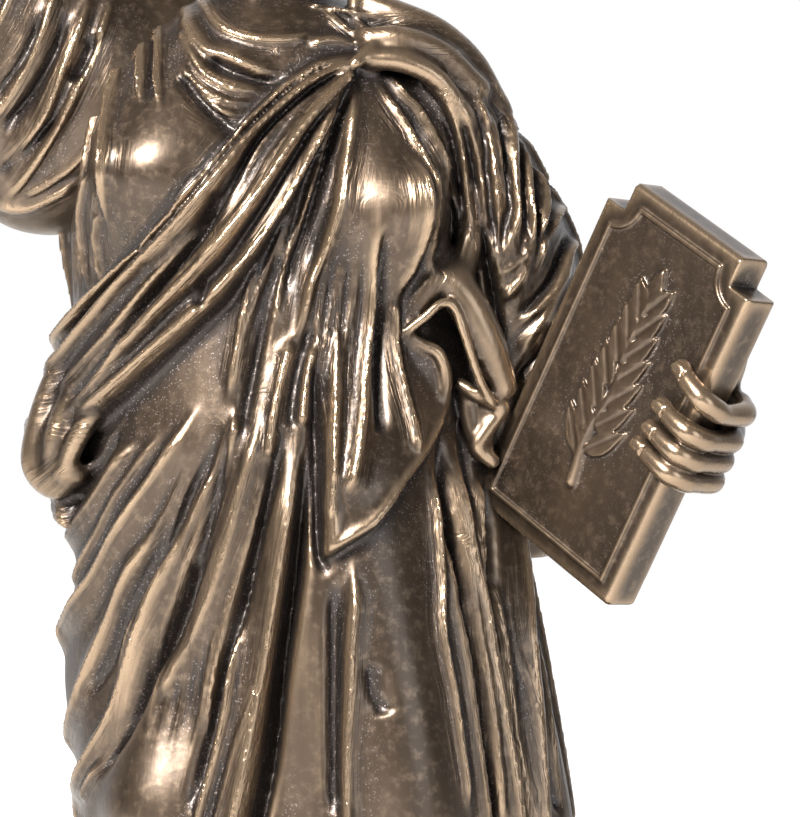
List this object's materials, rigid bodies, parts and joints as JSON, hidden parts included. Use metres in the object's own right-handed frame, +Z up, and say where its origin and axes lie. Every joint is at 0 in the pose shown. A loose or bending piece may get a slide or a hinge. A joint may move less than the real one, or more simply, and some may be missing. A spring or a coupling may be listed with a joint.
{
  "type": "draped figure statuette",
  "caption": "Cast statuette of a standing draped figure with a notched tablet on one arm and a laurel wreath raised in the other hand, on a stepped plinth.",
  "frame": {"origin": "centre of the felt face that the statuette stands on", "axes": "+Z up through the figure, -Y the way the figure faces, +X the viewer's right when facing it"},
  "size_m": [0.1096, 0.088, 0.3011],
  "materials": {
    "bronze_resin": "satin",
    "felt": "matte",
    "steel": "satin",
    "brass": "satin"
  },
  "bodies": {
    "root": {"felt_pad": "felt", "plinth_casting": "bronze_resin", "body_casting": "bronze_resin", "head_casting": "bronze_resin", "right_arm_casting": "bronze_resin", "left_hand_casting": "bronze_resin", "laurel_wreath": "bronze_resin", "tablet": "bronze_resin", "body_screw": "steel", "screw_washer": "steel", "locating_pin_left": "steel", "locating_pin_right": "steel", "neck_dowel": "steel", "right_arm_dowel": "steel", "tablet_dowel_inner": "steel", "tablet_dowel_outer": "steel", "body_insert": "brass"}
  },
  "joints": []
}
